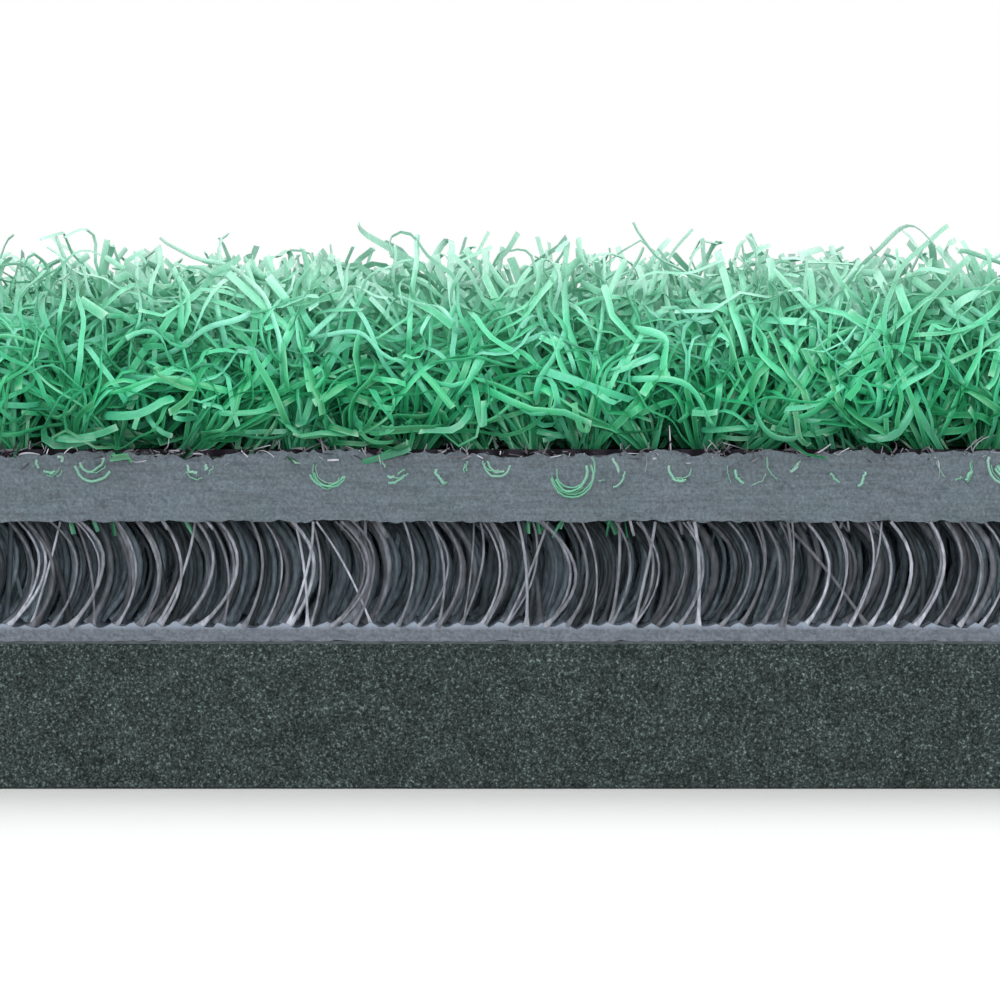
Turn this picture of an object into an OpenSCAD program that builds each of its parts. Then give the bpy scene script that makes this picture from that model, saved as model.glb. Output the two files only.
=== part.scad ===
// Golf hitting mat: tufted turf on a rubber slab, a layer of springy
// filaments under it, and a foam base.
// Frame: millimetres, X along the mat, Y across it, Z up, with the origin
// at the middle of the underside.

/* [Mat] */
// Length of the mat along X
mat_length = 600; // [300:10:900]
// Width of the mat along Y
mat_width = 300; // [200:10:450]

/* [Layers] */
// Height of the foam base
foam_height = 10; // [5:0.5:25]
// Height of the glue film on the foam
film_height = 0.2; // [0.1:0.05:0.5]
// Height of the sheet that carries the filaments
carrier_height = 1; // [0.6:0.1:2]
// Height of the springy filament layer
spring_height = 7.3; // [5:0.1:12]
// Height of the rubber slab under the turf
slab_height = 4.5; // [3:0.1:8]
// Height of the woven cloth that the turf is stitched through
cloth_height = 0.5; // [0.3:0.1:1]
// Height of the turf pile above the cloth
pile_height = 14.5; // [8:0.5:25]

/* [Springy filaments] */
// Distance along X from one row of filaments to the next
filament_pitch = 1.75; // [1.4:0.05:4]
// Thickness of a filament
filament_thickness = 0.3; // [0.2:0.05:0.6]
// How far a filament bows out at its middle
filament_bow = 1.4; // [0.8:0.1:2]
// Number of nodes that the filament rows are shared between
filament_bands = 12; // [4:1:16]

/* [Tufting] */
// Distance across the mat from one tufted row to the next
row_gauge = 5; // [4:0.5:8]
// Gap between the crowns of two neighbouring rows
crown_gap = 0.2; // [0.1:0.1:1]
// Width of a row where it leaves the cloth
row_foot = 2.2; // [1:0.1:3]
// Width of the yarn that lies under the cloth
stitch_width = 1.4; // [0.8:0.1:2]
// Depth of the yarn that lies under the cloth
stitch_depth = 1.7; // [0.8:0.1:2.5]
// Width of the yarn where it comes up through the cloth
stitch_neck = 0.6; // [0.3:0.1:0.8]
// Number of nodes that the tufted rows are shared between
row_bands = 12; // [4:1:16]

/* [Hidden] */
// Material left around the stitched area of the cloth and the slab
selvage = 3;
// How far the filament rows stay inside the mat's cut ends
filament_inset = 0.4;

film_z = foam_height;
carrier_z = film_z + film_height;
spring_z = carrier_z + carrier_height;
slab_z = spring_z + spring_height;
cloth_z = slab_z + slab_height;
pile_z = cloth_z + cloth_height;

stitch_length = mat_length - 2 * selvage;
row_count = floor(mat_width / row_gauge);
filament_span = mat_length - 2 * filament_inset - filament_bow - filament_thickness;
filament_count = floor(filament_span / filament_pitch) + 1;
filament_length = mat_width - 2 * filament_inset;
// Radius of the bow that a filament makes between the two sheets
filament_radius = (pow(spring_height / 2, 2) + pow(filament_bow, 2)) / (2 * filament_bow);

function two_digits(n) = str(n < 10 ? "0" : "", n);
function band_names(base, count) = [for (i = [1:count]) str(base, "_", two_digits(i))];
// Members of a band when total members are shared evenly between bands
function members(band, total, bands) =
    [for (i = [0:total - 1]) if (floor(i * bands / total) == band) i];
function row_y(i) = (i - (row_count - 1) / 2) * row_gauge;
function filament_x(i) =
    -mat_length / 2 + filament_inset + filament_thickness / 2 + i * filament_pitch
    + (filament_span - (filament_count - 1) * filament_pitch) / 2;

FILAMENT_NODES = band_names("spring_filaments", filament_bands);
STITCH_NODES = band_names("backstitch_rows", row_bands);
TURF_NODES = band_names("turf_rows", row_bands);

// A flat layer of the full mat size
module layer(z, height) {
    translate([-mat_length / 2, -mat_width / 2, z])
        cube([mat_length, mat_width, height]);
}

// A bar along the stitched length, centred on one tufted row
module row_bar(y, z, width, height) {
    translate([-stitch_length / 2, y - width / 2, z])
        cube([stitch_length, width, height]);
}

module foam_base() {
    color("#3c4646") layer(0, foam_height);
}

module glue_film() {
    color("#6f7a80") layer(film_z, film_height);
}

module filament_carrier_sheet() {
    color("#717983") layer(carrier_z, carrier_height);
}

// Bowed outline of one filament row, in X and Z, with its feet at X 0
module filament_outline() {
    intersection() {
        translate([filament_bow - filament_radius, 0])
            difference() {
                circle(r = filament_radius + filament_thickness / 2, $fn = 96);
                circle(r = filament_radius - filament_thickness / 2, $fn = 96);
            }
        translate([-filament_bow, -spring_height / 2])
            square([3 * filament_bow, spring_height]);
    }
}

// Rows of filaments that stand between the carrier sheet and the slab
module spring_filaments(band) {
    color("#8a8f9a")
        for (i = members(band, filament_count, filament_bands))
            translate([filament_x(i), 0, spring_z + spring_height / 2])
                rotate([90, 0, 0])
                    linear_extrude(height = filament_length, center = true)
                        filament_outline();
}

// Slab moulded round the yarn that lies under the cloth
module rubber_slab() {
    color("#69737d")
        difference() {
            layer(slab_z, slab_height);
            for (i = [0:row_count - 1])
                row_bar(row_y(i), cloth_z - stitch_depth, stitch_width, stitch_depth + 1);
        }
}

// Cloth with one slot for each tufted row
module woven_backing_cloth() {
    color("#2a2d31")
        difference() {
            layer(cloth_z, cloth_height);
            for (i = [0:row_count - 1])
                row_bar(row_y(i), cloth_z - 1, stitch_neck, cloth_height + 2);
        }
}

// Yarn under the cloth, with the neck that comes up through the slot
module backstitch_rows(band) {
    color("#5fae8c")
        for (i = members(band, row_count, row_bands)) {
            row_bar(row_y(i), cloth_z - stitch_depth, stitch_width, stitch_depth);
            row_bar(row_y(i), cloth_z - stitch_depth / 2, stitch_neck,
                    stitch_depth / 2 + cloth_height);
        }
}

// Tufted rows, narrow at the cloth and fanned out at the crown
module turf_rows(band) {
    crown = row_gauge - crown_gap;
    color("#2f9f63")
        for (i = members(band, row_count, row_bands))
            translate([-mat_length / 2, row_y(i), pile_z])
                rotate([90, 0, 90])
                    linear_extrude(height = mat_length)
                        polygon([
                            [-row_foot / 2, 0],
                            [row_foot / 2, 0],
                            [crown / 2, pile_height / 2],
                            [crown / 2, pile_height],
                            [-crown / 2, pile_height],
                            [-crown / 2, pile_height / 2],
                        ]);
}

foam_base();
glue_film();
filament_carrier_sheet();
rubber_slab();
woven_backing_cloth();
for (band = [0:filament_bands - 1])
    spring_filaments(band);
for (band = [0:row_bands - 1])
    backstitch_rows(band);
for (band = [0:row_bands - 1])
    turf_rows(band);
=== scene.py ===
"""Golf hitting mat: tufted turf on a rubber slab, over bowed springy filaments and a foam base."""

import math
from collections import namedtuple

import bmesh
import bpy
import numpy as np
from bpy.props import FloatProperty, FloatVectorProperty, IntProperty, PointerProperty
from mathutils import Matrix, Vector


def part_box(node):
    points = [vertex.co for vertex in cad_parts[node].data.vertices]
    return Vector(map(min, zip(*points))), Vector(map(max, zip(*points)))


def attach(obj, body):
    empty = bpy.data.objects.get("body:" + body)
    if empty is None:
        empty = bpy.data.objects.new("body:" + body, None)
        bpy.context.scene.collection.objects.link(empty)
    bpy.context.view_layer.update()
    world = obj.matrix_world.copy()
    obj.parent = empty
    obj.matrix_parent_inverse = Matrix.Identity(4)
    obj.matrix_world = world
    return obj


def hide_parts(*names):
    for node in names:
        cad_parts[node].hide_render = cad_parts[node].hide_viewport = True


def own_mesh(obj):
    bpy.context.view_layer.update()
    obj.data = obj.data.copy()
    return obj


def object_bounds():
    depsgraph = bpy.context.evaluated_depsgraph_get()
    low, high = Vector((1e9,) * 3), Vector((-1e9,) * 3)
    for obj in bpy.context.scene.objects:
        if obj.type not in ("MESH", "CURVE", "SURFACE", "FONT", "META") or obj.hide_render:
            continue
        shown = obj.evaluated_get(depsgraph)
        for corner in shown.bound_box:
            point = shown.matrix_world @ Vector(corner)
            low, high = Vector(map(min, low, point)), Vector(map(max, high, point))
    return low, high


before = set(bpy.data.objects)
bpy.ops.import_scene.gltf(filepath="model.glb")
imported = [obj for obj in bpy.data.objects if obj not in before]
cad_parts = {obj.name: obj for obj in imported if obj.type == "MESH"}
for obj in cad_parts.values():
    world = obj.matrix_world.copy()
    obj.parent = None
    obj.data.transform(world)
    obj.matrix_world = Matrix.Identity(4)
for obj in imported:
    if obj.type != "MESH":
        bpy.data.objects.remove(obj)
cad_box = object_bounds()

bl_info = {
    "name": "Golf hitting mat",
    "version": (1, 0, 0),
    "blender": (4, 5, 0),
    "location": "3D View > Sidebar > Golf mat",
    "description": "Makes the layers, the springy filaments and the tufted turf of a golf hitting mat",
    "category": "Object",
}

# ---------------- places from the frame

MM = 0.001


def nodes_named(start):
    """The CAD nodes whose names begin with start, in order."""
    return sorted(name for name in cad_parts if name.startswith(start))


TURF_NODES = nodes_named("turf_rows_")
STITCH_NODES = nodes_named("backstitch_rows_")
FILAMENT_NODES = nodes_named("spring_filaments_")
MAT_LOW, MAT_HIGH = cad_box
SLAB_LOW, SLAB_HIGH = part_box("rubber_slab")
CLOTH_LOW, CLOTH_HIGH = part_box("woven_backing_cloth")
SHEET_LOW, SHEET_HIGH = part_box("filament_carrier_sheet")
FOAM_LOW, FOAM_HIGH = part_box("foam_base")
ROWS_PER_NODE = 5
SPRING_HEIGHT = SLAB_LOW.z - SHEET_HIGH.z


# ---------------- sizes and colours

def length(name, default, description):
    return FloatProperty(name=name, default=default, description=description, unit="LENGTH",
                         min=0.0, precision=5)


def colour(name, default, description):
    return FloatVectorProperty(name=name, default=default, description=description,
                               subtype="COLOR", size=4, min=0.0, max=1.0)


class TurfSettings(bpy.types.PropertyGroup):
    """Sizes and colours of the tufted turf."""
    stitch_pitch: length("Stitch pitch", 4 * MM, "Distance along a row from tuft to tuft")
    ribbon_width: length("Ribbon width", 0.42 * MM, "Mean width of the ribbon yarn")
    ribbon_thickness: length("Ribbon thickness", 0.128 * MM, "Thickness of the folded ribbon yarn")
    show_depth: length("Show depth", 5 * MM, "Depth of the finest turf behind the front edge")
    show_half: length("Show half-length", 44 * MM, "Half the length of the finely made turf")
    rim: length("Rim", 12 * MM, "Width of the better made turf along every edge")
    show_blades: IntProperty(name="Fine blades", default=44, min=1,
                             description="Blades in a tuft of the finely made turf")
    rim_blades: IntProperty(name="Rim blades", default=8, min=1,
                            description="Blades in a tuft along the edges")
    inner_blades: IntProperty(name="Inner blades", default=3, min=1,
                              description="Blades in a tuft away from the edges")
    # a painted height gradient: the dark root colour is painted shade, the pale tip colour painted light
    shaded_root_colour: colour("Root colour", (0.017, 0.150, 0.066, 1), "Yarn at the cloth")
    low_colour: colour("Low colour", (0.025, 0.400, 0.160, 1), "Yarn a third of the way up")
    high_colour: colour("High colour", (0.106, 0.570, 0.322, 1), "Yarn two thirds of the way up")
    lit_tip_colour: colour("Tip colour", (0.385, 0.670, 0.550, 1), "Yarn at its tips")


class LayerSettings(bpy.types.PropertyGroup):
    """Sizes and colours of the flat layers under the turf."""
    fine_cell: length("Fine cell", 0.30 * MM, "Mesh size of the cut faces at the middle of the front")
    plain_cell: length("Plain cell", 1.2 * MM, "Mesh size of the cut faces elsewhere")
    foam_dark: colour("Foam dark", (0.008, 0.013, 0.012, 1), "Hollows of the foam's cells")
    foam_light: colour("Foam light", (0.034, 0.046, 0.044, 1), "Walls of the foam's cells")
    slab_colour: colour("Slab", (0.064, 0.086, 0.104, 1), "Cut face of the rubber slab")
    sheet_colour: colour("Carrier sheet", (0.070, 0.085, 0.108, 1), "Sheet that carries the filaments")
    film_colour: colour("Glue film", (0.052, 0.062, 0.068, 1), "Set glue under the carrier sheet")
    cloth_colour: colour("Backing cloth", (0.014, 0.012, 0.017, 1), "Woven cloth under the turf")


class FilamentSettings(bpy.types.PropertyGroup):
    """Sizes and colours of the springy filaments."""
    pitch: length("Pitch", 1.5 * MM, "Distance along the mat from one row to the next")
    spacing: length("Spacing", 2.2 * MM, "Distance across the mat between neighbours in a row")
    thickness: length("Thickness", 0.24 * MM, "Mean thickness of one filament")
    bow: length("Bow", 1.5 * MM, "How far a filament bows out")
    rim: length("Rim", 12 * MM, "Width of the fully filled strip along every edge")
    thinning: IntProperty(name="Thinning", default=17, min=1,
                          description="Of this many inner filaments, one is made")
    # the colour at the cut edges is painted light, and the one behind them painted shade, which the
    # material lifts further in as painted fill light
    colour: colour("Filament", (0.175, 0.185, 0.212, 1), "Scuffed nylon at the cut edges")
    shaded_filament_colour: colour("Dull filament", (0.023, 0.030, 0.035, 1), "Nylon behind the cut edges")


class StageSettings(bpy.types.PropertyGroup):
    """Floor, light and camera."""
    view_width: length("View width", 69.4 * MM, "Width of the picture at the mat's front face")
    view_height: length("View height", 20 * MM, "Height of the middle of the picture on that face")
    distance: length("Camera distance", 0.30, "Distance from the camera to the front face")
    elevation: FloatProperty(name="Elevation", default=math.radians(1.5), subtype="ANGLE",
                             description="How far the camera looks down")


SETTINGS = (TurfSettings, LayerSettings, FilamentSettings, StageSettings)


class MatSettings(bpy.types.PropertyGroup):
    """All the mat's settings."""
    turf: PointerProperty(type=TurfSettings)
    layers: PointerProperty(type=LayerSettings)
    filaments: PointerProperty(type=FilamentSettings)
    stage: PointerProperty(type=StageSettings)


# ---------------- modelling helpers

def deselect_all():
    bpy.ops.object.select_all(action="DESELECT")


def only(ob):
    """Makes ob the one selected and active object."""
    deselect_all()
    ob.select_set(True)
    bpy.context.view_layer.objects.active = ob


def new_box(name, low, high):
    """A box between two corners, with its place in its mesh."""
    deselect_all()
    bpy.ops.mesh.primitive_cube_add(size=1, location=(Vector(low) + Vector(high)) / 2)
    ob = bpy.context.object
    ob.scale = Vector(high) - Vector(low)
    bpy.ops.object.transform_apply(location=True, rotation=True, scale=True)
    ob.name = name
    ob.data.name = name
    return ob


def select_edges(ob, wanted):
    """In edit mode, selects the edges whose ends pass the test."""
    bpy.ops.mesh.select_mode(type="EDGE")
    bpy.ops.mesh.select_all(action="DESELECT")
    mesh = bmesh.from_edit_mesh(ob.data)
    for edge in mesh.edges:
        if wanted(edge.verts[0].co, edge.verts[1].co):
            edge.select_set(True)
    bmesh.update_edit_mesh(ob.data)


def cut_edges(ob, wanted, cuts):
    """Cuts each wanted edge into about cuts + 1 parts, in passes of at most 90 cuts."""
    most = 90
    only(ob)
    bpy.ops.object.mode_set(mode="EDIT")
    while cuts > 0:
        passes = math.ceil(math.log(cuts + 1) / math.log(most + 1))
        now = max(1, round((cuts + 1) ** (1 / passes)) - 1)
        select_edges(ob, wanted)
        bpy.ops.mesh.subdivide(number_cuts=now)
        cuts = round((cuts + 1) / (now + 1)) - 1
    bpy.ops.object.mode_set(mode="OBJECT")


def bisect(ob, place, normal):
    """Cuts the whole of ob along a plane, and keeps both sides."""
    bpy.ops.object.mode_set(mode="EDIT")
    bpy.ops.mesh.select_all(action="SELECT")
    bpy.ops.mesh.bisect(plane_co=place, plane_no=normal)
    bpy.ops.object.mode_set(mode="OBJECT")


def apply_modifier(ob, kind, **values):
    """Adds a modifier with these values and applies it."""
    only(ob)
    modifier = ob.modifiers.new(kind.title(), kind)
    for key, value in values.items():
        setattr(modifier, key, value)
    bpy.ops.object.modifier_apply(modifier=modifier.name)


def smooth_by_angle(ob, degrees):
    only(ob)
    bpy.ops.object.shade_smooth_by_angle(angle=math.radians(degrees))


def settle(ob, body, slot, material, *replaced):
    """Gives a finished piece its finish and its body, and hides the CAD nodes that it stands for."""
    ob.data.materials.clear()
    ob.data.materials.append(material)
    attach(ob, body)
    if replaced:
        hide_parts(*replaced)


# ---------------- material helpers

def new_material(name, **values):
    """A material with one Principled shader, whose sockets are set by name."""
    material = bpy.data.materials.new(name)
    material.use_nodes = True
    shader = material.node_tree.nodes["Principled BSDF"]
    for key, value in values.items():
        shader.inputs[key.replace("_", " ")].default_value = value
    return material, material.node_tree, shader


def add_node(tree, kind, settings=(), **values):
    """A node with its settings and the values of its sockets."""
    node = tree.nodes.new(kind)
    for key, value in dict(settings).items():
        setattr(node, key, value)
    for key, value in values.items():
        node.inputs[key.replace("_", " ")].default_value = value
    return node


def object_place(tree):
    return add_node(tree, "ShaderNodeTexCoord").outputs["Object"]


def stretched(tree, vector, scale):
    """Coordinates stretched by scale, for grain that runs one way."""
    node = add_node(tree, "ShaderNodeMapping", Scale=scale)
    tree.links.new(vector, node.inputs["Vector"])
    return node.outputs["Vector"]


def noise(tree, vector, feature, detail=3.0, roughness=0.6):
    """Noise whose features are about this many metres across."""
    node = add_node(tree, "ShaderNodeTexNoise", Scale=1 / feature, Detail=detail, Roughness=roughness)
    tree.links.new(vector, node.inputs["Vector"])
    return node.outputs["Fac"]


def ramp(tree, factor, stops):
    """A colour ramp with stops of (place, colour)."""
    node = add_node(tree, "ShaderNodeValToRGB")
    band = node.color_ramp
    while len(band.elements) < len(stops):
        band.elements.new(0.5)
    for element, (place, shade) in zip(band.elements, stops):
        element.position = place
        element.color = shade
    tree.links.new(factor, node.inputs["Fac"])
    return node.outputs["Color"]


def mixed(tree, first, second, factor, blend="MIX"):
    """Two colours mixed. Each may be a socket or a colour, and the factor a socket or a number."""
    node = add_node(tree, "ShaderNodeMix", {"data_type": "RGBA", "blend_type": blend})
    for value, socket in ((factor, node.inputs[0]), (first, node.inputs[6]), (second, node.inputs[7])):
        if isinstance(value, bpy.types.NodeSocket):
            tree.links.new(value, socket)
        else:
            socket.default_value = value
    return node.outputs[2]


def multiplied(tree, base, factor, stops, strength=1.0):
    """A colour multiplied by a ramp along factor, whose stops hold a colour or the level of a grey."""
    shades = [(place, level if isinstance(level, tuple) else (level, level, level, 1))
              for place, level in stops]
    return mixed(tree, base, ramp(tree, factor, shades), strength, "MULTIPLY")


def calculated(tree, operation, *values):
    """The result of a sum done on numbers."""
    node = add_node(tree, "ShaderNodeMath", {"operation": operation})
    for place, value in enumerate(values):
        tree.links.new(value, node.inputs[place])
    return node.outputs[0]


def scaled(tree, value, from_low, from_high, to_low=0.0, to_high=1.0):
    """A number carried from one range to another, and held inside it."""
    node = add_node(tree, "ShaderNodeMapRange")
    for place, number in enumerate((from_low, from_high, to_low, to_high), start=1):
        node.inputs[place].default_value = number
    tree.links.new(value, node.inputs[0])
    return node.outputs[0]


def paint(tree, shader, result):
    """Makes a colour the shader's own."""
    tree.links.new(result, shader.inputs["Base Color"])


def bumped(tree, shader, height, strength, distance):
    """Feeds the shader a bump from height, distance metres deep."""
    node = add_node(tree, "ShaderNodeBump", Strength=strength, Distance=distance)
    tree.links.new(height, node.inputs["Height"])
    tree.links.new(node.outputs["Normal"], shader.inputs["Normal"])


def shade(base, factor):
    return (base[0] * factor, base[1] * factor, base[2] * factor, 1)


# ---------------- materials

def foam_material(settings):
    """Closed-cell foam, quite matt: a fine speckle of dark cells and paler walls."""
    material, tree, shader = new_material("foam_cells", Roughness=1.0, Specular_IOR_Level=0.0)
    place = object_place(tree)
    cells = mixed(tree, noise(tree, place, 0.30 * MM, detail=3.0, roughness=0.8),
                  noise(tree, place, 0.14 * MM, detail=2.0), 0.5)
    drift = noise(tree, place, 1.6 * MM, detail=3.0)
    speckle = ramp(tree, cells, (
        (0.36, tuple(settings.foam_dark)),
        (0.47, shade(settings.foam_light, 0.60)),
        (0.56, shade(settings.foam_light, 1.25)),
        (0.66, shade(settings.foam_light, 4.5)),
    ))
    shaded = multiplied(tree, speckle, drift, ((0.3, 0.75), (0.7, 1.25)))
    paint(tree, shader, shaded)
    bumped(tree, shader, cells, 0.6, 0.08 * MM)
    return material


def slab_material(settings):
    """Filled rubber, knife cut: fine grain, faint level score marks and a few pits."""
    material, tree, shader = new_material("slab_rubber_cut", Roughness=0.62)
    place = object_place(tree)
    base = tuple(settings.slab_colour)
    grain = noise(tree, place, 0.22 * MM, detail=4.0, roughness=0.75)
    scores = noise(tree, stretched(tree, place, (0.06, 0.06, 1.0)), 0.30 * MM, detail=3.0)
    drift = noise(tree, place, 4.0 * MM, detail=3.0)
    toned = ramp(tree, grain, ((0.30, shade(base, 0.50)), (0.50, base), (0.72, shade(base, 1.7))))
    toned = multiplied(tree, toned, scores, ((0.3, 0.72), (0.7, 1.22)), 0.9)
    toned = multiplied(tree, toned, drift, (
        (0.3, (0.86, 0.92, 0.90, 1)), (0.7, (1.08, 1.02, 1.06, 1)),
    ), 0.8)
    paint(tree, shader, toned)
    bumped(tree, shader, mixed(tree, grain, scores, 0.5), 0.5, 0.10 * MM)
    return material


def sheet_material(settings):
    """Extruded sheet with a torn upper edge, painted paler there as a painted highlight."""
    material, tree, shader = new_material("carrier_sheet_cut", Roughness=0.55)
    place = object_place(tree)
    base = tuple(settings.sheet_colour)
    grain = noise(tree, place, 0.25 * MM, detail=4.0, roughness=0.7)
    scores = noise(tree, stretched(tree, place, (0.10, 0.10, 1.0)), 0.20 * MM)
    height = add_node(tree, "ShaderNodeSeparateXYZ")
    tree.links.new(place, height.inputs[0])
    # edge: the top quarter millimetre, painted paler as a painted highlight
    edge = scaled(tree, height.outputs[2], SHEET_HIGH.z - 0.25 * MM, SHEET_HIGH.z + 0.10 * MM)
    toned = ramp(tree, grain, ((0.30, shade(base, 0.55)), (0.50, base), (0.72, shade(base, 1.6))))
    toned = multiplied(tree, toned, scores, ((0.3, 0.85), (0.7, 1.1)), 0.7)
    toned = mixed(tree, toned, shade(base, 2.4), edge)
    paint(tree, shader, toned)
    bumped(tree, shader, grain, 0.4, 0.08 * MM)
    return material


def film_material(settings):
    """Set glue with a dull drift."""
    material, tree, shader = new_material("set_glue", Roughness=0.6, Specular_IOR_Level=0.1)
    place = object_place(tree)
    base = tuple(settings.film_colour)
    drift = noise(tree, place, 0.8 * MM, detail=4.0)
    paint(tree, shader, ramp(tree, drift, ((0.3, shade(base, 0.6)), (0.7, shade(base, 1.3)))))
    bumped(tree, shader, drift, 0.5, 0.1 * MM)
    return material


def cloth_material(settings):
    """Plain weave of dark tapes."""
    material, tree, shader = new_material("backing_weave", Roughness=0.8, Specular_IOR_Level=0.1)
    place = object_place(tree)
    base = tuple(settings.cloth_colour)
    waves = []
    for direction in ("X", "Y"):
        wave = add_node(tree, "ShaderNodeTexWave", {"bands_direction": direction},
                        Scale=160.0, Distortion=0.4)
        tree.links.new(place, wave.inputs["Vector"])
        waves.append(wave.outputs["Fac"])
    weave = mixed(tree, waves[0], waves[1], 0.5, "LIGHTEN")
    paint(tree, shader, ramp(tree, weave, ((0.2, shade(base, 0.5)), (0.8, shade(base, 1.6)))))
    bumped(tree, shader, weave, 0.6, 0.15 * MM)
    return material


def strand_attributes(tree):
    """What every strand carries: its own tone, how far along it, and how far from its midline."""
    tone, along, across = [
        add_node(tree, "ShaderNodeAttribute", {"attribute_name": name}).outputs["Fac"]
        for name in ("tone", "along", "across")
    ]
    return tone, along, calculated(tree, "ABSOLUTE", across)


def nearness_to_edge(tree, place, reach):
    """A number that rises from 0 to 1 over the last reach before the mat's nearest cut side."""
    split = add_node(tree, "ShaderNodeSeparateXYZ")
    tree.links.new(place, split.inputs[0])
    sides = []
    for k in (0, 1):
        from_middle = calculated(tree, "ABSOLUTE", split.outputs[k])
        sides.append(scaled(tree, from_middle, MAT_HIGH[k] - reach, MAT_HIGH[k]))
    return calculated(tree, "MAXIMUM", *sides)


def filament_material(settings):
    """Nylon filaments with scuffs, coloured by depth as painted light and shade: pale at the cut edges,
    dark just behind them, paler again further in.
    """
    material, tree, shader = new_material("spring_nylon", Roughness=0.6, Specular_IOR_Level=0.12)
    tone, along, _ = strand_attributes(tree)
    place = object_place(tree)
    base = tuple(settings.colour)
    dull = tuple(settings.shaded_filament_colour)
    # painted light and shade by depth: painted light at the cut edge, painted shade just behind it,
    # painted fill light further in
    depth = ramp(tree, nearness_to_edge(tree, place, 24 * MM), (
        (0.0, shade(dull, 20.0)),
        (0.55, shade(dull, 11.0)),
        (0.78, shade(dull, 4.0)),
        (0.90, dull),
        (0.945, base),
    ))
    scuffs = noise(tree, stretched(tree, place, (1, 1, 0.3)), 0.35 * MM)
    toned = multiplied(tree, depth, tone, ((0.0, 0.50), (0.6, 1.0), (1.0, 1.7)))
    toned = multiplied(tree, toned, scuffs, (
        (0.32, 0.55), (0.5, 1.0), (0.7, 1.6),
    ), 0.9)
    # lighter near the feet, and darker over the top part as painted shadow under the slab
    toned = multiplied(tree, toned, along, (
        (0.0, 1.25), (0.15, 0.95), (0.72, 0.95), (1.0, 0.60),
    ))
    paint(tree, shader, toned)
    return material


def yarn_material(name, settings, low, high, brightness=1.0):
    """Semi-gloss ribbon yarn, with painted light by height: dark at the height low as painted shade,
    pale at the height high as painted light, and paler edges as a painted highlight.

    The last argument, when less than 1, makes the yarn darker."""
    material, tree, shader = new_material(name, Roughness=0.42)
    tone, along, across = strand_attributes(tree)
    place = object_place(tree)
    height = add_node(tree, "ShaderNodeSeparateXYZ")
    tree.links.new(place, height.inputs[0])
    level = scaled(tree, height.outputs[2], low, high)
    # green: painted shade low in the pile, rising to painted light at the top
    green = ramp(tree, level, (
        (0.00, tuple(settings.shaded_root_colour)),
        (0.28, tuple(settings.low_colour)),
        (0.62, tuple(settings.high_colour)),
        (1.00, tuple(settings.lit_tip_colour)),
    ))
    drift = noise(tree, stretched(tree, place, (1, 1, 0.6)), 1.6 * MM, detail=2.0)
    variety = mixed(tree, tone, drift, 0.45)
    # random tone, fading out towards the top of the painted light
    green = multiplied(tree, green, variety, (
        (0.24, (0.42, 0.57, 0.48, 1)), (0.50, (1.0, 1.0, 1.0, 1)), (0.76, (2.1, 1.08, 1.5, 1)),
    ), scaled(tree, level, 0.50, 0.95, 1.0, 0.20))
    # pale: a painted highlight along the ribbon's edges, paler higher up
    pale = ramp(tree, level, (
        (0.0, tuple(settings.low_colour)),
        (0.45, shade(settings.high_colour, 1.15)),
        (0.8, tuple(settings.lit_tip_colour)),
    ))
    green = mixed(tree, green, pale, scaled(tree, across, 0.45, 1.0, 0, 0.45))
    # cut: a painted highlight at the cut end of each strand
    cut = scaled(tree, along, 0.975, 1.0, 0, 0.2)
    green = mixed(tree, green, (0.70, 0.88, 0.80, 1), cut)
    streak = noise(tree, stretched(tree, place, (1, 1, 0.25)), 0.12 * MM)
    # streaks, all darker where the last argument is below 1
    green = multiplied(tree, green, streak, ((0.3, 0.84 * brightness), (0.7, 1.12 * brightness)), 0.8)
    paint(tree, shader, green)
    return material


def fray_material(settings):
    """Frayed tape and torn rubber, from dark to pale grey with a violet cast."""
    material, tree, shader = new_material("cloth_frays", Roughness=0.45)
    tone, along, _ = strand_attributes(tree)
    toned = ramp(tree, tone, (
        (0.0, tuple(settings.cloth_colour)), (0.5, (0.10, 0.10, 0.12, 1)), (1.0, (0.42, 0.42, 0.47, 1)),
    ))
    toned = multiplied(tree, toned, along, ((0.0, 0.8), (1.0, 1.3)))
    paint(tree, shader, toned)
    return material


def plain_material(name, base, roughness):
    """A stage surface, with the faintest drift in its tone."""
    material, tree, shader = new_material(name, Roughness=roughness)
    drift = noise(tree, object_place(tree), 0.4, detail=2.0)
    paint(tree, shader, ramp(tree, drift, ((0.3, shade(base, 0.98)), (0.7, base))))
    return material


# ---------------- flat layers

def white_room(tree, strength):
    """A white surrounding that lights the mat at this strength."""
    back = tree.nodes["Background"]
    back.inputs["Color"].default_value = (1, 1, 1, 1)
    seen = add_node(tree, "ShaderNodeLightPath").outputs["Is Camera Ray"]
    tree.links.new(scaled(tree, seen, 0, 1, strength, 1.0), back.inputs["Strength"])


def weigh(ob, name, weight_at):
    """A vertex group whose weights come from each point's place."""
    group = ob.vertex_groups.new(name=name)
    for vertex in ob.data.vertices:
        weight = float(weight_at(vertex.co))
        if weight > 0:
            group.add([vertex.index], min(weight, 1.0), "REPLACE")


def roughen(ob, feature, depth, direction="NORMAL", group=""):
    """Moves ob's points by clouds of this feature size, up to depth from trough to crest."""
    texture = bpy.data.textures.new(f"{ob.name}_clouds", "CLOUDS")
    texture.noise_scale = feature
    texture.noise_depth = 3
    apply_modifier(ob, "DISPLACE", texture=texture, strength=depth, mid_level=0.5, direction=direction,
                   texture_coords="LOCAL", vertex_group=group)


def on_cut_face(place):
    """True for a place on one of the mat's four cut sides."""
    tiny = 0.3 * MM
    return abs(place.y) > MAT_HIGH.y - tiny or abs(place.x) > MAT_HIGH.x - tiny


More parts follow.
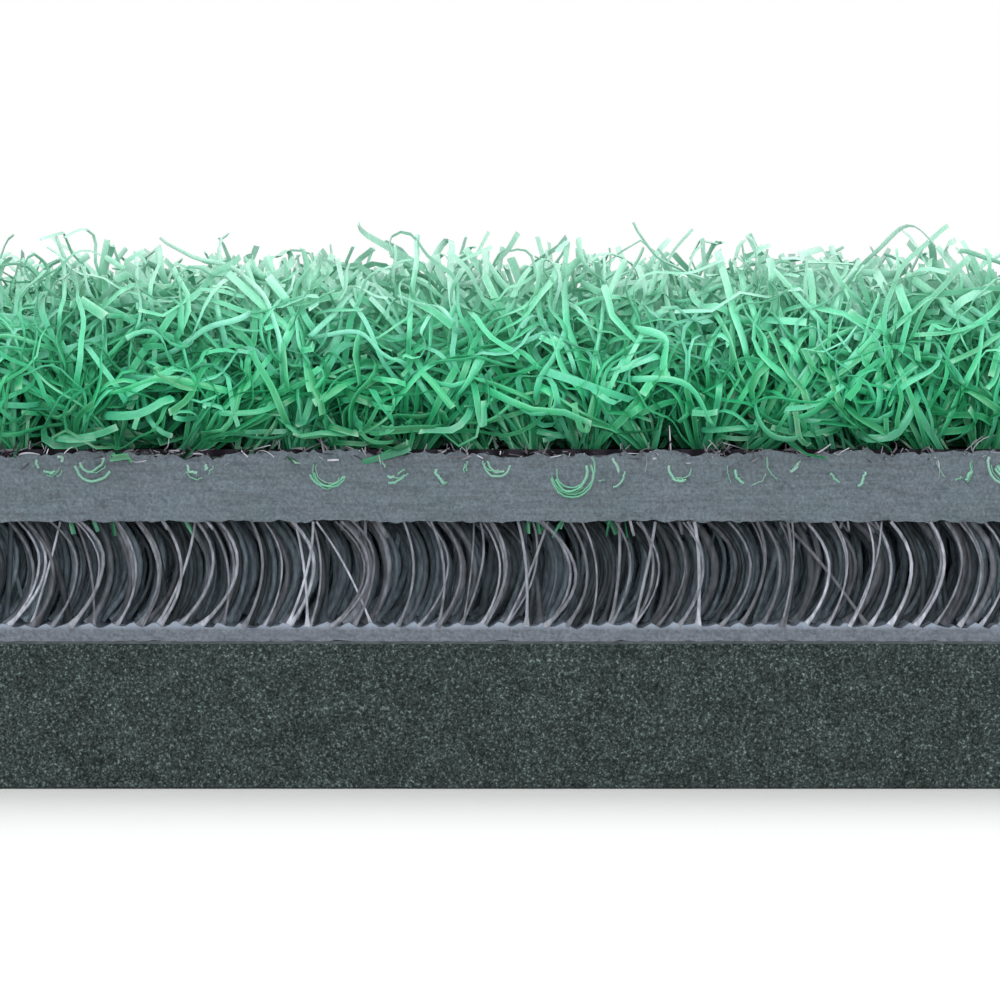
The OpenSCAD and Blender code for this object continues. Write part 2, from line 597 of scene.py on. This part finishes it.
def cut_layer(name, low, high, settings, rows):
    """A layer with its cut faces divided finely at the middle of the front and plainly elsewhere."""
    ob = new_box(name, low, high)
    only(ob)
    fine_half = mat_settings().turf.show_half
    for side in (-1, 1):
        bisect(ob, (side * fine_half, 0, 0), (1, 0, 0))
    middle = round(2 * fine_half / settings.fine_cell)
    wing = round((high.x - fine_half) / settings.plain_cell)
    depth = round((high.y - low.y) / settings.plain_cell)
    tiny = 0.01 * MM

    def in_middle(a, b):
        return max(abs(a.x), abs(b.x)) < fine_half + tiny and abs(a.x - b.x) > tiny

    def in_wing(a, b):
        return min(abs(a.x), abs(b.x)) > fine_half - tiny and abs(a.x - b.x) > tiny

    def upright(a, b):
        return abs(a.z - b.z) > (high.z - low.z) / 2

    def at_end(a, b):
        return min(abs(a.x), abs(b.x)) > high.x - tiny and abs(a.y - b.y) > tiny

    for wanted, parts in ((in_middle, middle), (in_wing, wing), (upright, rows), (at_end, depth)):
        cut_edges(ob, wanted, parts - 1)
    return ob


# ---------------- strands

Blank = namedtuple("Blank", "rings ring across thick loops starts")


def strand_blank(sides, segments):
    """One straight strand, modelled once: the ring, and the place on it, of each of its points."""
    deselect_all()
    bpy.ops.mesh.primitive_cylinder_add(vertices=sides, radius=0.5, depth=segments,
                                        location=(0, 0, segments / 2), end_fill_type="NGON")
    ob = bpy.context.object
    bpy.ops.object.transform_apply(location=True, rotation=True, scale=True)
    if segments > 1:
        cut_edges(ob, lambda a, b: abs(a.z - b.z) > segments - 0.5, segments - 1)
    mesh = ob.data
    points = np.array([v.co for v in mesh.vertices])
    loops = np.array([loop.vertex_index for loop in mesh.loops])
    starts = np.array([face.loop_start for face in mesh.polygons])
    bpy.data.objects.remove(ob)
    bpy.data.meshes.remove(mesh)
    widest = np.abs(points[:, 0]).max()
    ring = np.rint(points[:, 2]).astype(int)
    return Blank(segments + 1, ring, points[:, 0] / (2 * widest), points[:, 1], loops, starts)


def unit(vectors):
    return vectors / np.maximum(np.linalg.norm(vectors, axis=-1, keepdims=True), 1e-12)


def bent_copies(name, blank, points, sideways, width, thickness, fold, tone):
    """One mesh of many copies of a blank, each bent along its own path.

    points and sideways hold, for each copy and ring, the place and the direction across the strand.
    width is given for each ring, and thickness, fold and tone for each copy."""
    count = len(points)
    along = unit(np.gradient(points, axis=1))
    outward = np.cross(along, sideways)
    across = blank.across[None, :] * width[:, blank.ring]
    lift = blank.thick[None, :] * thickness[:, None]
    lift = lift + fold[:, None] * width[:, blank.ring] * (0.25 - blank.across[None, :] ** 2)
    corners = (points[:, blank.ring]
               + sideways[:, blank.ring] * across[..., None]
               + outward[:, blank.ring] * lift[..., None])
    each = len(blank.ring)
    loops = blank.loops[None, :] + each * np.arange(count)[:, None]
    starts = blank.starts[None, :] + len(blank.loops) * np.arange(count)[:, None]
    mesh = bpy.data.meshes.new(name)
    mesh.vertices.add(count * each)
    mesh.vertices.foreach_set("co", corners.astype(np.float32).ravel())
    mesh.loops.add(loops.size)
    mesh.loops.foreach_set("vertex_index", loops.astype(np.int32).ravel())
    mesh.polygons.add(starts.size)
    mesh.polygons.foreach_set("loop_start", starts.astype(np.int32).ravel())
    mesh.update(calc_edges=True)
    for key, values in (
        ("tone", np.repeat(tone, each)),
        ("along", np.tile(blank.ring / (blank.rings - 1), count)),
        ("across", np.tile(2 * blank.across, count)),
    ):
        mesh.attributes.new(key, "FLOAT", "POINT").data.foreach_set("value", values.astype(np.float32))
    ob = bpy.data.objects.new(name, mesh)
    bpy.context.collection.objects.link(ob)
    smooth_by_angle(ob, 75)
    return ob


def wander(random, starts, directions, lengths, segments, bend_at, twist, steer=None):
    """Paths that leave starts in the given directions and bend flat-wise, with each one's way across.

    bend_at gives the bends at a share of the length, and steer, if there is one, adds turns that depend
    on place and direction. Each segment is walked in a few finer steps."""
    fine = 3
    count = len(starts)
    along = unit(directions)
    turn_to = random.uniform(0, 2 * math.pi, count)
    flat = np.stack([np.cos(turn_to), np.sin(turn_to), np.zeros(count)], axis=1)
    across = unit(np.cross(along, flat) + 1e-6)
    place = starts.copy()
    step = lengths / (segments * fine)
    points = [place]
    sideways = [across]
    for part in range(segments * fine):
        turn = np.cross(along, across) * bend_at((part + 0.5) / (segments * fine))[:, None]
        if steer:
            turn = turn + steer(place, along)
        along = unit(along + turn * step[:, None])
        across = unit(across - along * np.sum(across * along, axis=1, keepdims=True))
        angle = (twist * step)[:, None]
        across = unit(np.cos(angle) * across + np.sin(angle) * np.cross(along, across))
        place = place + along * step[:, None]
        if part % fine == fine - 1:
            points.append(place)
            sideways.append(across)
    return np.stack(points, axis=1), np.stack(sideways, axis=1)


# ---------------- turf

def grow_ribbons(random, roots, lean, lengths, segments, ceiling, curliness):
    """Paths of crimped ribbons that rise from roots and then curl, each no higher than its ceiling."""
    count = len(roots)
    curl = curliness * random.gamma(2.0, 0.10, count) * np.where(random.random(count) < 0.5, -1, 1) / MM
    crimp = curliness * random.uniform(0.30, 1.10, count) / MM
    hook = random.normal(0, 0.50, count) / MM
    wave = 2 * math.pi / (random.uniform(3.0, 7.0, count) * MM)
    phase = random.uniform(0, 2 * math.pi, count)
    inset = 0.4 * MM
    overhang = 1.5 * MM
    low_zone = 3.0 * MM
    low = np.array([MAT_LOW.x, MAT_LOW.y]) + inset

    def bend_at(share):
        """Little bend at the root, then curl and crimp, and a hook over the last quarter."""
        rise = min(1, (3.0 * share) ** 1.3)
        ripple = crimp * np.sin(wave * share * lengths + phase)
        return (curl + ripple) * rise + hook * max(0, 4 * share - 3)

    def steer(place, along):
        """Turns a blade up where it runs low, and back where it leaves the mat."""
        turn = np.zeros_like(place)
        under = np.clip((CLOTH_HIGH.z + low_zone - place[:, 2]) / low_zone, 0, 1.5)
        turn[:, 2] += 1.1 / MM * under * np.clip(0.25 - along[:, 2], 0, 1)
        turn[:, :2] -= (place[:, :2] - np.clip(place[:, :2], low, -low)) * 0.30 / MM ** 2
        return turn

    twist = random.normal(0, 0.14, count) / MM
    points, sideways = wander(random, roots, lean, lengths, segments, bend_at, twist, steer)
    top = points[:, :, 2].max(axis=1)
    fit = np.clip((ceiling - roots[:, 2]) / (top - roots[:, 2]), 0.4, 1.2)[:, None, None]
    points = roots[:, None, :] + (points - roots[:, None, :]) * fit
    points[:, :, 1] = np.clip(points[:, :, 1], MAT_LOW.y - overhang, MAT_HIGH.y + overhang)
    return points, sideways


def tuft_places(rows, settings):
    """Middle of each tuft in the given rows of the mat."""
    gauge = (MAT_HIGH.y - MAT_LOW.y) / (ROWS_PER_NODE * len(TURF_NODES))
    along = np.arange(MAT_LOW.x + settings.stitch_pitch / 2, MAT_HIGH.x, settings.stitch_pitch)
    across = MAT_LOW.y + (np.array(rows) + 0.5) * gauge
    grid = np.stack(np.meshgrid(along, across, indexing="ij"), axis=-1)
    return grid.reshape(-1, 2)


def turf_grades(places, settings):
    """Which tufts stand at the fine front edge, behind it, along another edge, or inside."""
    from_edge = np.minimum(MAT_HIGH.x - np.abs(places[:, 0]), MAT_HIGH.y - np.abs(places[:, 1]))
    depth = np.where(np.abs(places[:, 0]) < settings.show_half, places[:, 1] - MAT_LOW.y, MAT_HIGH.y)
    edge = depth < settings.show_depth
    front = (depth < 2 * settings.show_depth) & ~edge
    behind = (depth < 4 * settings.show_depth) & ~edge & ~front
    rim = ~edge & ~front & ~behind & (from_edge < settings.rim)
    inner = ~(edge | front | behind | rim)
    return {"edge": edge, "front": front, "behind": behind, "rim": rim, "inner": inner}


def turf_piece(name, places, blades, segments, widen, seed, settings):
    """Tufts of ribbon yarn at the given places, as one mesh."""
    random = np.random.default_rng(seed)
    count = len(places) * blades
    tuft = np.repeat(np.arange(len(places)), blades)
    # where each blade stands in its tuft, and the way in which it leaves the cloth
    shift = random.normal(0, 1, (len(places), 2)) * (0.40 * MM, 0.25 * MM)
    centre = (places + shift)[tuft]
    spread = random.normal(0, 1, (count, 2)) * (0.50 * MM, 0.50 * MM)
    ground = np.clip(centre + spread, (MAT_LOW.x, MAT_LOW.y), (MAT_HIGH.x, MAT_HIGH.y))
    foot = random.uniform(CLOTH_LOW.z - 0.3 * MM, CLOTH_HIGH.z - 0.2 * MM, count)
    roots = np.column_stack([ground, foot])
    together = random.normal(0, 1, (len(places), 2)) * (0.36, 0.24)
    apart = random.normal(0, 1, (count, 2)) * (0.38, 0.40)
    lean = np.column_stack([together[tuft] + apart, np.ones(count)])
    # heights and lengths as shares of the pile: half the blades stand up, and a few of those proud
    pile = MAT_HIGH.z - CLOTH_HIGH.z
    upright = random.random(count) < 0.5
    height = np.where(upright, random.normal(0.93, 0.05, count), random.uniform(0.35, 0.92, count))
    proud = upright & (random.random(count) < 0.06)
    height[proud] = random.uniform(0.99, 1.09, proud.sum())
    straight = random.uniform(1.05, 1.35, count)
    reach = np.where(upright, height * straight, random.uniform(1.1, 2.1, count))
    points, sideways = grow_ribbons(random, roots, lean, reach * pile, segments,
                                    CLOTH_HIGH.z + pile * height, np.where(upright, 0.8, 1.0))
    # widths: narrower over the first quarter, where the ribbon is gathered in the stitch
    share = np.linspace(0, 1, segments + 1)
    taper = 0.60 + 0.40 * np.clip(share / 0.25, 0, 1)
    width = settings.ribbon_width * widen * np.clip(random.normal(1, 0.28, count), 0.50, 1.45)
    width[proud] *= 0.8
    return bent_copies(
        name, strand_blank(3, segments), points, sideways, width[:, None] * taper[None, :],
        np.full(count, settings.ribbon_thickness), random.uniform(0.05, 0.55, count),
        random.random(count),
    )


# ---------------- cut stitches, loose ends and frays

def stitch_piece(name, side, settings, seed):
    """The yarn loops that the knife has bared along one long side of the slab."""
    random = np.random.default_rng(seed)
    pitch = settings.stitch_pitch
    segments = 10
    middles = np.arange(MAT_LOW.x + pitch, MAT_HIGH.x - pitch, pitch)
    middles = middles[random.random(len(middles)) < 0.85]
    # some loops are bared whole, as a few nested arcs, and the others as short scraps of arc
    whole = random.random(len(middles)) < 0.35
    lines = np.where(whole, random.integers(3, 6, len(middles)), random.integers(2, 8, len(middles)))
    loop = np.repeat(np.arange(len(middles)), lines)
    count = len(loop)
    whole = whole[loop]
    begin = np.where(whole, random.uniform(-105, -60, count), random.uniform(-100, 75, count))
    sweep = np.where(whole, random.uniform(110, 205, count), random.uniform(20, 75, count))
    share = np.linspace(0, 1, segments + 1)[None, :]
    angle = np.radians(begin[:, None] + sweep[:, None] * share)
    reach = pitch * random.uniform(0.24, 0.38, len(middles))[loop] * random.uniform(0.60, 1.10, count)
    middle = (middles + random.normal(0, 0.6 * MM, len(middles)))[loop]
    middle = middle + random.normal(0, 0.07 * MM, count)
    drop = (random.uniform(0.2, 1.0, len(middles)) * MM)[loop] + random.normal(0, 0.08 * MM, count)
    wobble = np.cumsum(random.normal(0, 0.040 * MM, (count, segments + 1, 2)), axis=1)
    points = np.zeros((count, segments + 1, 3))
    points[..., 0] = middle[:, None] + reach[:, None] * np.sin(angle) + wobble[..., 0]
    points[..., 1] = side * (MAT_HIGH.y + 0.06 * MM)
    points[..., 2] = (SLAB_HIGH.z - drop)[:, None] - 1.1 * reach[:, None] * np.cos(angle)
    points[..., 2] += wobble[..., 1]
    points[..., 2] = np.minimum(points[..., 2], SLAB_HIGH.z)
    sideways = np.broadcast_to(np.array([0.0, 1.0, 0.0]), points.shape)
    width = np.full((count, segments + 1), 0.40 * MM)
    return bent_copies(name, strand_blank(4, segments), points, sideways, width,
                       random.uniform(0.08, 0.24, count) * MM, np.zeros(count), random.random(count))


def around_edges(random, count, spread):
    """Random places along the mat's four sides, spread inwards, as X and Y."""
    sides = (MAT_HIGH.x, MAT_HIGH.y)
    run = random.uniform(0, 4 * (sides[0] + sides[1]), count)
    inward = np.abs(random.normal(0, spread, count))
    long_side = run < 4 * sides[0]
    side = np.where(random.random(count) < 0.5, -1, 1)
    place = np.empty((count, 2))
    place[:, 0] = np.where(long_side, run / 2 - sides[0], side * (sides[0] - inward))
    place[:, 1] = np.where(long_side, side * (sides[1] - inward), (run - 4 * sides[0]) / 2 - sides[1])
    return place


def fray_piece(name, count, front_count, seed):
    """Short frays of the backing cloth's tapes, and torn threads of rubber, along its cut edges."""
    random = np.random.default_rng(seed)
    half = mat_settings().turf.show_half
    front = np.column_stack([random.uniform(-half, half, front_count),
                             MAT_LOW.y + np.abs(random.normal(0, 0.5 * MM, front_count))])
    starts = np.vstack([around_edges(random, count, 0.5 * MM), front])
    total = len(starts)
    starts = np.column_stack([starts, SLAB_HIGH.z + random.normal(0.05, 0.22, total) * MM])
    ways = random.normal(0, 1, (total, 3)) * (1.0, 0.6, 0.5) + (0, 0, 0.4)
    lengths = random.gamma(3.0, 0.30, total) * MM
    bend = random.normal(0, 1.8, total) / MM
    segments = 6
    points, sideways = wander(random, starts, ways, lengths, segments, lambda share: bend * (1 - share),
                              random.normal(0, 0.4, total) / MM)
    width = random.uniform(0.05, 0.20, total)[:, None] * MM * np.linspace(1, 0.5, segments + 1)[None, :]
    return bent_copies(name, strand_blank(3, segments), points, sideways, width,
                       random.uniform(0.04, 0.09, total) * MM, np.zeros(total), random.random(total))


def loose_end_piece(name, at_edges, middles, slant, width, thickness, seed):
    """Ends that hang from the slab's underside: some all along the cut edges, and bunches at the front.

    middles holds, for each bunch, its middle along the mat and how many ends it has."""
    random = np.random.default_rng(seed)
    starts = [around_edges(random, at_edges, 1.0 * MM)]
    for middle, count in middles:
        starts.append(np.column_stack([random.normal(middle, 1.6 * MM, count),
                                       MAT_LOW.y + random.uniform(1.0 * MM, 1.6 * MM, count)]))
    starts = np.vstack(starts)
    total = len(starts)
    starts = np.column_stack([starts, np.full(total, SLAB_LOW.z + 0.2 * MM)])
    ways = random.normal(0, 1, (total, 3)) * (0.35, 0.12, 0) + (slant, 0, -1)
    lengths = random.uniform(0.7, 1.7, total) * MM
    bend = random.normal(0, 0.30, total) / MM
    segments = 6
    points, sideways = wander(random, starts, ways, lengths, segments, lambda share: bend * share,
                              random.normal(0, 0.3, total) / MM)
    widths = np.repeat(random.uniform(0.6, 1.3, total)[:, None] * width, segments + 1, axis=1)
    return bent_copies(name, strand_blank(4, segments), points, sideways, widths,
                       np.full(total, thickness), random.uniform(0, 0.4, total), random.random(total))


# ---------------- filaments

def bowed_paths(random, feet, bow, lean, segments):
    """Paths of filaments that stand on feet and bow out towards +X."""
    share = np.linspace(0, 1, segments + 1)[None, :]
    count = len(feet)
    peak = random.normal(0.54, 0.03, count)[:, None]
    below = 1 - ((peak - share) / peak) ** 2
    above = 1 - ((share - peak) / (1 - peak)) ** 2
    bulge = np.where(share < peak, below, above)
    points = np.zeros((count, segments + 1, 3))
    points[..., 0] = feet[:, :1] + lean[:, :1] * share + bow[:, None] * bulge
    points[..., 1] = feet[:, 1:2] + lean[:, 1:2] * share
    points[..., 2] = SHEET_HIGH.z + SPRING_HEIGHT * share
    return points


def filament_feet(band, settings):
    """Feet of the filaments in one of the bands across the mat, as X and Y."""
    width = (MAT_HIGH.x - MAT_LOW.x) / len(FILAMENT_NODES)
    along = np.arange(MAT_LOW.x + settings.thickness, MAT_HIGH.x - settings.bow, settings.pitch)
    along = along[np.floor((along - MAT_LOW.x) / width) == band]
    half = np.arange(settings.thickness, MAT_HIGH.y, settings.spacing) - MAT_HIGH.y
    across = np.concatenate([half, -half[::-1]])
    return np.stack(np.meshgrid(along, across, indexing="ij"), axis=-1).reshape(-1, 2)


def filament_piece(name, feet, strands, segments, sides, seed, settings):
    """Filaments standing in small clumps on the given feet, as one mesh."""
    random = np.random.default_rng(seed)
    clump = np.repeat(np.arange(len(feet)), np.minimum(strands, random.poisson(0.55, len(feet)) + 1))
    count = len(clump)
    depth = MAT_HIGH.y - np.abs(feet[:, 1])
    # the strands lie loosest at the cut edge, and stand in straighter order behind it
    loose = (0.35 + 0.65 * np.exp(-depth / (3 * MM)))[:, None]
    scatter = np.where(depth > settings.spacing, 0.5 * settings.pitch, 0.15 * MM)
    centre = feet + np.column_stack([scatter * random.uniform(-1, 1, len(feet)),
                                     random.normal(0, 0.20 * MM, len(feet))])
    own = random.normal(0, 1, (count, 2)) * (0.10 * MM, 0.20 * MM)
    clump_bow = settings.bow * np.clip(random.normal(1, 0.20, len(feet)), 0.5, 1.4)
    bow = clump_bow[clump] * np.clip(random.normal(1, 0.10, count), 0.5, 1.4)
    clump_lean = (random.normal(0, 1, feet.shape) * (0.40, 0.35) + (0.25, 0)) * MM * loose
    lean = clump_lean[clump] + random.normal(0, 1, (count, 2)) * (0.22 * MM, 0.40 * MM) * loose[clump]
    stray = random.random(count) < 0.26 * loose[clump, 0]
    lean[stray, 0] += random.normal(0, 2.2 * MM, stray.sum())
    bow[stray] *= random.uniform(0.0, 0.6, stray.sum())
    points = bowed_paths(random, centre[clump] + own, bow, lean, segments)
    along = unit(np.gradient(points, axis=1))
    sideways = unit(np.cross(along, np.array([0.0, 1.0, 0.0])))
    share = np.linspace(0, 1, segments + 1)
    flare = 1 + 1.3 * np.exp(-share * SPRING_HEIGHT / (0.35 * MM))
    thick = np.where(depth > settings.spacing, 1.5, 0.70)[clump]
    thickness = settings.thickness * thick * np.clip(random.normal(1, 0.22, count), 0.6, 1.6)
    width = thickness[:, None] * flare[None, :]
    return bent_copies(name, strand_blank(sides, segments), points, sideways, width, thickness,
                       np.zeros(count), random.random(count))


# ---------------- operators

def mat_settings():
    return bpy.context.scene.golf_mat


class MAT_OT_foam_base(bpy.types.Operator):
    """Make the foam base"""
    bl_idname = "golf_mat.foam_base"
    bl_label = "Foam base"

    def execute(self, context):
        settings = mat_settings().layers
        ob = cut_layer("foam_block", FOAM_LOW, FOAM_HIGH, settings, 10)
        weigh(ob, "cut_faces", lambda place: on_cut_face(place) and place.z > 0.5 * MM)
        roughen(ob, 2.5 * MM, 0.16 * MM, group="cut_faces")
        settle(ob, "base", "foam", foam_material(settings), "foam_base")
        return {"FINISHED"}


class MAT_OT_carrier_sheet(bpy.types.Operator):
    """Make the carrier sheet, and finish the glue film under it"""
    bl_idname = "golf_mat.carrier_sheet"
    bl_label = "Carrier sheet and glue"

    def execute(self, context):
        settings = mat_settings().layers
        ob = cut_layer("carrier_sheet_cut", SHEET_LOW, SHEET_HIGH, settings, 4)
        wave = 2 * math.pi / mat_settings().filaments.pitch

        def at_upper_edge(place):
            return float(on_cut_face(place) and place.z > SHEET_HIGH.z - 0.1 * MM)

        def at_feet(place):
            return at_upper_edge(place) * (0.5 + 0.5 * math.cos(wave * (place.x - MAT_LOW.x))) ** 2

        weigh(ob, "cut_faces", on_cut_face)
        weigh(ob, "upper_edge", at_upper_edge)
        weigh(ob, "feet", at_feet)
        roughen(ob, 0.7 * MM, 0.30 * MM, group="cut_faces")
        roughen(ob, 0.9 * MM, 0.55 * MM, "Z", "upper_edge")
        apply_modifier(ob, "DISPLACE", strength=0.28 * MM, mid_level=0.0, direction="Z",
                       vertex_group="feet")
        settle(ob, "base", "carrier_sheet", sheet_material(settings), "filament_carrier_sheet")
        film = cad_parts["glue_film"]
        film.data.materials.clear()
        film.data.materials.append(film_material(settings))
        return {"FINISHED"}


class MAT_OT_filaments(bpy.types.Operator):
    """Make the springy filaments"""
    bl_idname = "golf_mat.filaments"
    bl_label = "Springy filaments"

    def execute(self, context):
        settings = mat_settings().filaments
        turf = mat_settings().turf
        material = filament_material(settings)
        for number, node in enumerate(FILAMENT_NODES):
            feet = filament_feet(number, settings)
            depth = np.minimum(MAT_HIGH.y - np.abs(feet[:, 1]), MAT_HIGH.x - np.abs(feet[:, 0]))
            middle = (np.abs(feet[:, 0]) < turf.show_half) & (feet[:, 1] < 0)
            show = middle & (depth < settings.rim)
            deep = middle & ~show & (depth < 5 * settings.rim)
            rim = ~middle & (depth < settings.rim)
            inner = ~show & ~deep & ~rim
            inner[np.arange(len(feet)) % settings.thinning != 0] = False
            # grade: its feet, most strands on a foot, segments and sides of a strand
            jobs = [
                ("front", show, 3, 10, 6),
                ("deep", deep, 1, 4, 3),
                ("rim", rim, 1, 5, 3),
                ("inner", inner, 1, 4, 3),
            ]
            for order, (grade, chosen, strands, segments, sides) in enumerate(jobs):
                if not chosen.any():
                    continue
                name = f"filaments_{grade}_{number + 1:02d}"
                ob = filament_piece(name, feet[chosen], strands, segments, sides,
                                    100 * (order + 1) + number, settings)
                settle(ob, "base", "spring_filament", material, node)
                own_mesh(ob)
        return {"FINISHED"}


class MAT_OT_filament_ends(bpy.types.Operator):
    """Make the cut filament ends that stay in the slab's underside"""
    bl_idname = "golf_mat.filament_ends"
    bl_label = "Cut filament ends"

    def execute(self, context):
        settings = mat_settings().filaments
        bunches = ((-10 * MM, 4), (12 * MM, 4), (24 * MM, 4))
        ob = loose_end_piece("filament_ends_under_slab", 90, bunches, 0.45, settings.thickness,
                             settings.thickness, 51)
        settle(ob, "deck", "spring_filament", filament_material(settings))
        return {"FINISHED"}


class MAT_OT_rubber_slab(bpy.types.Operator):
    """Make the rubber slab"""
    bl_idname = "golf_mat.rubber_slab"
    bl_label = "Rubber slab"

    def execute(self, context):
        settings = mat_settings().layers
        ob = cut_layer("slab_cut", SLAB_LOW, SLAB_HIGH, settings, 14)
        fade = 0.7 * MM
        weigh(ob, "cut_faces", on_cut_face)
        weigh(ob, "upper_edge", lambda place: on_cut_face(place) * (place.z - SLAB_HIGH.z + fade) / fade)
        weigh(ob, "lower_edge", lambda place: on_cut_face(place) and place.z < SLAB_LOW.z + 0.1 * MM)
        roughen(ob, 0.9 * MM, 0.40 * MM, group="cut_faces")
        apply_modifier(ob, "DISPLACE", strength=0.20 * MM, mid_level=0.0, direction="Z",
                       vertex_group="upper_edge")
        roughen(ob, 0.6 * MM, 0.9 * MM, "Z", "upper_edge")
        roughen(ob, 5.0 * MM, 1.3 * MM, "Z", "upper_edge")
        roughen(ob, 0.8 * MM, 0.45 * MM, "Z", "lower_edge")
        settle(ob, "deck", "slab_rubber", slab_material(settings), "rubber_slab")
        return {"FINISHED"}


class MAT_OT_backing_cloth(bpy.types.Operator):
    """Make the woven backing cloth"""
    bl_idname = "golf_mat.backing_cloth"
    bl_label = "Backing cloth"

    def execute(self, context):
        settings = mat_settings().layers
        inset = Vector((0.9, 0.9, 0)) * MM
        ob = cut_layer("cloth_weave", CLOTH_LOW + inset, CLOTH_HIGH - inset, settings, 1)
        settle(ob, "deck", "backing_cloth", cloth_material(settings), "woven_backing_cloth")
        return {"FINISHED"}


class MAT_OT_frays(bpy.types.Operator):
    """Make the frays along the backing cloth's cut edges"""
    bl_idname = "golf_mat.frays"
    bl_label = "Cloth frays"

    def execute(self, context):
        ob = fray_piece("cloth_frays", 900, 520, 31)
        settle(ob, "deck", "backing_cloth", fray_material(mat_settings().layers))
        return {"FINISHED"}


class MAT_OT_stitches(bpy.types.Operator):
    """Make the yarn that shows in the slab's cut faces and under it"""
    bl_idname = "golf_mat.stitches"
    bl_label = "Bared stitches"

    def execute(self, context):
        settings = mat_settings().turf
        # this height range puts the bared stitches near the pale top of the painted height gradient
        material = yarn_material("stitch_ribbon", settings, SLAB_HIGH.z - 15 * MM, SLAB_HIGH.z)
        for name, side, seed in (("bared_stitches_front", -1, 41), ("bared_stitches_back", 1, 42)):
            settle(stitch_piece(name, side, settings, seed), "deck", "stitch_yarn", material)
        # darker yarn for the ends under the slab and the sealed stitch rows
        deeper = yarn_material("sealed_stitch_yarn", settings, SLAB_LOW.z - 6 * MM,
                               SLAB_HIGH.z + 4 * MM, brightness=0.25)
        bunches = ((4.5 * MM, 7), (7.5 * MM, 3), (-28 * MM, 2))
        ends = loose_end_piece("yarn_ends_under_slab", 40, bunches, 0, 0.28 * MM, 0.10 * MM, 43)
        settle(ends, "deck", "stitch_yarn", deeper)
        for node in STITCH_NODES:
            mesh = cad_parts[node].data
            mesh.materials.clear()
            mesh.materials.append(deeper)
        return {"FINISHED"}


class MAT_OT_turf(bpy.types.Operator):
    """Make the tufted turf"""
    bl_idname = "golf_mat.turf"
    bl_label = "Turf"

    def execute(self, context):
        settings = mat_settings().turf
        material = yarn_material("turf_ribbon", settings, CLOTH_HIGH.z, MAT_HIGH.z)
        # grade: blades in a tuft, segments in a blade, widening
        grades = {
            "edge": (settings.show_blades, 30, 1.0),
            "front": (settings.show_blades * 3 // 4, 20, 1.05),
            "behind": (settings.show_blades // 2, 12, 1.15),
            "rim": (settings.rim_blades, 7, 1.6),
            "inner": (settings.inner_blades, 4, 2.4),
        }
        for number, node in enumerate(TURF_NODES):
            rows = range(number * ROWS_PER_NODE, (number + 1) * ROWS_PER_NODE)
            places = tuft_places(rows, settings)
            chosen = turf_grades(places, settings)
            for order, (grade, (blades, segments, widen)) in enumerate(grades.items()):
                if not chosen[grade].any():
                    continue
                name = f"turf_{grade}_{number + 1:02d}"
                ob = turf_piece(name, places[chosen[grade]], blades, segments, widen,
                                1000 * (order + 1) + number, settings)
                settle(ob, "deck", "turf_yarn", material, node)
        return {"FINISHED"}


class MAT_OT_stage(bpy.types.Operator):
    """Make the floor, the light and the camera"""
    bl_idname = "golf_mat.stage"
    bl_label = "Stage"

    def execute(self, context):
        settings = mat_settings().stage
        scene = context.scene
        deselect_all()
        bpy.ops.mesh.primitive_circle_add(vertices=64, radius=12, fill_type="NGON",
                                          location=(0, 0, -0.1 * MM))
        floor = context.object
        floor.name = "floor"
        floor.data.materials.append(plain_material("pale_floor", (0.86, 0.86, 0.86, 1), 0.7))
        world = scene.world or bpy.data.worlds.new("white_room")
        scene.world = world
        world.use_nodes = True
        white_room(world.node_tree, 0.84)
        for name, place, size, power in (
            ("key_light", (-0.5, -0.9, 1.1), 0.7, 6.5),
            ("top_light", (0.2, 0.5, 1.4), 1.0, 6.0),
            ("front_light", (0.05, -1.0, 0.16), 0.35, 4.0),
        ):
            bpy.ops.object.light_add(type="AREA", location=place)
            light = context.object
            light.name = name
            light.data.energy = power
            light.data.size = size
            light.rotation_euler = (-Vector(place)).to_track_quat("-Z", "Y").to_euler()
        target = Vector((0, MAT_LOW.y, settings.view_height))
        back = Vector((0, -math.cos(settings.elevation), math.sin(settings.elevation)))
        bpy.ops.object.camera_add(location=target + back * settings.distance)
        camera = context.object
        camera.name = "camera"
        camera.rotation_euler = (-back).to_track_quat("-Z", "Y").to_euler()
        camera.data.sensor_width = 36
        camera.data.lens = camera.data.sensor_width * settings.distance / settings.view_width
        camera.data.clip_start = 0.01
        scene.camera = camera
        scene.view_settings.view_transform = "Standard"
        return {"FINISHED"}


OPERATORS = (
    MAT_OT_foam_base,
    MAT_OT_carrier_sheet,
    MAT_OT_filaments,
    MAT_OT_filament_ends,
    MAT_OT_rubber_slab,
    MAT_OT_backing_cloth,
    MAT_OT_frays,
    MAT_OT_stitches,
    MAT_OT_turf,
    MAT_OT_stage,
)


class MAT_PT_panel(bpy.types.Panel):
    """The sidebar's list of the mat's pieces."""
    bl_idname = "MAT_PT_panel"
    bl_label = "Golf mat"
    bl_space_type = "VIEW_3D"
    bl_region_type = "UI"
    bl_category = "Golf mat"

    def draw(self, context):
        for operator in OPERATORS:
            self.layout.operator(operator.bl_idname)
        for key in ("turf", "layers", "filaments", "stage"):
            group = getattr(context.scene.golf_mat, key)
            box = self.layout.box()
            for name in group.bl_rna.properties.keys():
                if name not in ("rna_type", "name"):
                    box.prop(group, name)


CLASSES = SETTINGS + (MatSettings,) + OPERATORS + (MAT_PT_panel,)


def register():
    for cls in CLASSES:
        bpy.utils.register_class(cls)
    bpy.types.Scene.golf_mat = PointerProperty(type=MatSettings)


def unregister():
    del bpy.types.Scene.golf_mat
    for cls in reversed(CLASSES):
        bpy.utils.unregister_class(cls)


def main():
    register()
    for operator in OPERATORS:
        group, name = operator.bl_idname.split(".")
        getattr(getattr(bpy.ops, group), name)()


if __name__ == "__main__":
    main()
